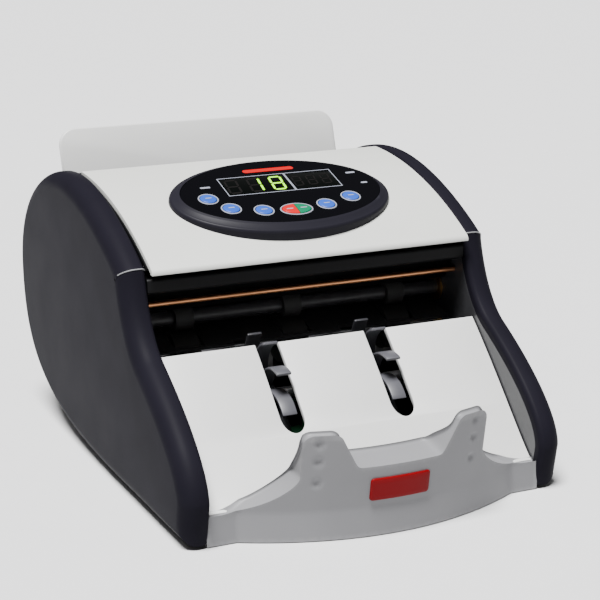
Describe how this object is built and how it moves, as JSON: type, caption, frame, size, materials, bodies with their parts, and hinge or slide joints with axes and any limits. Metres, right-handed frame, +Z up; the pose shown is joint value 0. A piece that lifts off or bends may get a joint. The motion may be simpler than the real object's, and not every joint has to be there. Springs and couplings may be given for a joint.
{
  "type": "banknote counting machine",
  "caption": "Desktop banknote counter with a rear hopper, an oval control pod on the sloping top, and a front stacker bay with vane wheels and a fingered tray.",
  "frame": {"origin": "centre of the bounding box's underside, on the table, under the middle of the machine", "axes": "+Z up, the stacker tray faces -Y, the hopper is at +Y, +X to the right seen from the front"},
  "size_m": [0.2104, 0.289, 0.1655],
  "materials": {
    "housing_plastic": "fine satin texture, moulded",
    "black_plastic": "satin moulded",
    "panel_grey": "fine satin texture, moulded",
    "tray_grey": "satin moulded",
    "plate_white": "satin moulded",
    "bezel_grey": "semi-gloss moulded",
    "gloss_black": "polished",
    "window_smoke": "polished, smoked",
    "led_green": "segment display",
    "key_blue": "satin keycap",
    "key_red": "satin keycap",
    "key_green": "satin keycap",
    "badge_red": "polished",
    "board_green": "solder mask",
    "steel": "brushed",
    "copper": "drawn, dull",
    "frame_steel": "black painted",
    "roller_rubber": "ground rubber",
    "retard_rubber": "ground rubber",
    "wheel_plastic": "moulded",
    "pulley_plastic": "moulded nylon",
    "foot_rubber": "moulded rubber",
    "belt_rubber": "moulded rubber",
    "bush_bronze": "sintered bronze",
    "motor_steel": "plated",
    "lamination": "varnished"
  },
  "bodies": {
    "root": {"base_pan": "black_plastic", "feet": "foot_rubber", "left_housing": "housing_plastic", "right_housing": "housing_plastic", "left_side_frame": "frame_steel", "right_side_frame": "frame_steel", "top_cover": "black_plastic", "top_panel": "panel_grey", "control_bezel": "bezel_grey", "key_fascia": "gloss_black", "display_window": "window_smoke", "count_display": "led_green", "batch_display": "led_green", "display_board": "board_green", "key_switches": "black_plastic", "front_crossbar": "black_plastic", "static_bar": "copper", "stacker_plate": "plate_white", "stacker_tray": "tray_grey", "tray_badge": "badge_red", "note_guides": "frame_steel", "hopper_plate": "plate_white", "hopper_floor": "black_plastic", "shaft_bushes": "bush_bronze", "drive_motor": "motor_steel", "drive_belts": "belt_rubber", "main_board": "board_green", "transformer": "lamination", "power_inlet": "black_plastic", "fuse_holder": "black_plastic", "rear_cover": "black_plastic", "tie_rods": "steel", "case_screws": "steel"},
    "key_1": {"key_1": "key_blue"},
    "key_2": {"key_2": "key_blue"},
    "key_3": {"key_3": "key_blue"},
    "key_4": {"key_4": "key_blue"},
    "key_5": {"key_5": "key_blue"},
    "stop_key": {"stop_key": "key_red"},
    "start_key": {"start_key": "key_green"},
    "stacker_rotor": {"stacker_shaft": "steel", "left_stacker_wheel": "wheel_plastic", "right_stacker_wheel": "wheel_plastic", "stacker_pulley": "pulley_plastic"},
    "transport_rotor": {"transport_shaft": "steel", "transport_rollers": "roller_rubber", "transport_pulleys": "pulley_plastic"},
    "pinch_rotor": {"pinch_shaft": "steel", "pinch_rollers": "pulley_plastic"},
    "feed_rotor": {"feed_shaft": "steel", "feed_rollers": "roller_rubber", "feed_pulleys": "pulley_plastic"},
    "pickup_rotor": {"pickup_shaft": "steel", "pickup_rollers": "roller_rubber", "pickup_pulley": "pulley_plastic"},
    "motor_rotor": {"motor_pulley": "steel"},
    "retard_unit": {"retard_bracket": "steel", "retard_rollers": "retard_rubber"},
    "gap_knob": {"gap_knob": "black_plastic"},
    "power_rocker": {"power_rocker": "key_red"}
  },
  "joints": [
    {"name": "key_1_press", "type": "slide", "parent": "root", "child": "key_1", "axis": [0, 0.3062, -0.952], "range_m": [0, 0.0005], "stiffness_N_per_m": 800},
    {"name": "key_2_press", "type": "slide", "parent": "root", "child": "key_2", "axis": [0, 0.3062, -0.952], "range_m": [0, 0.0005], "stiffness_N_per_m": 800},
    {"name": "key_3_press", "type": "slide", "parent": "root", "child": "key_3", "axis": [0, 0.3062, -0.952], "range_m": [0, 0.0005], "stiffness_N_per_m": 800},
    {"name": "key_4_press", "type": "slide", "parent": "root", "child": "key_4", "axis": [0, 0.3062, -0.952], "range_m": [0, 0.0005], "stiffness_N_per_m": 800},
    {"name": "key_5_press", "type": "slide", "parent": "root", "child": "key_5", "axis": [0, 0.3062, -0.952], "range_m": [0, 0.0005], "stiffness_N_per_m": 800},
    {"name": "stop_key_press", "type": "slide", "parent": "root", "child": "stop_key", "axis": [0, 0.3062, -0.952], "range_m": [0, 0.0005], "stiffness_N_per_m": 800},
    {"name": "start_key_press", "type": "slide", "parent": "root", "child": "start_key", "axis": [0, 0.3062, -0.952], "range_m": [0, 0.0005], "stiffness_N_per_m": 800},
    {"name": "feed_spin", "type": "hinge", "parent": "root", "child": "feed_rotor", "pos_m": [0, 0.04893, 0.07662], "axis": [1, 0, 0], "continuous": true},
    {"name": "pickup_spin", "type": "hinge", "parent": "root", "child": "pickup_rotor", "pos_m": [0, 0.08377, 0.10018], "axis": [1, 0, 0], "continuous": true},
    {"name": "transport_spin", "type": "hinge", "parent": "root", "child": "transport_rotor", "pos_m": [0, -0.01048, 0.064], "axis": [1, 0, 0], "continuous": true},
    {"name": "pinch_spin", "type": "hinge", "parent": "root", "child": "pinch_rotor", "pos_m": [0, -0.01048, 0.0834], "axis": [1, 0, 0], "continuous": true},
    {"name": "stacker_spin", "type": "hinge", "parent": "root", "child": "stacker_rotor", "pos_m": [0, -0.04798, 0.046], "axis": [1, 0, 0], "continuous": true},
    {"name": "motor_spin", "type": "hinge", "parent": "root", "child": "motor_rotor", "pos_m": [0, 0.01952, 0.036], "axis": [1, 0, 0], "continuous": true},
    {"name": "gap_knob_turn", "type": "hinge", "parent": "root", "child": "gap_knob", "pos_m": [0, 0.0411, 0.125], "axis": [0, 0, 1], "range_deg": [-180, 180]},
    {"name": "retard_shift", "type": "slide", "parent": "root", "child": "retard_unit", "axis": [0, -0.2756, 0.9613], "range_m": [-0.00025, 0.00025]},
    {"name": "power_rocker_tilt", "type": "hinge", "parent": "root", "child": "power_rocker", "pos_m": [-0.014, 0.13252, 0.062], "axis": [1, 0, 0], "range_deg": [-16, 0]}
  ],
  "couplings": [
    {"joint": "pickup_spin", "follows": "feed_spin", "ratio": 1},
    {"joint": "motor_spin", "follows": "feed_spin", "ratio": 2},
    {"joint": "transport_spin", "follows": "feed_spin", "ratio": 1.3333},
    {"joint": "stacker_spin", "follows": "feed_spin", "ratio": 0.44444},
    {"joint": "pinch_spin", "follows": "feed_spin", "ratio": -2.2857},
    {"joint": "gap_knob_turn", "follows": "retard_shift", "rad_per_m": 12500}
  ]
}
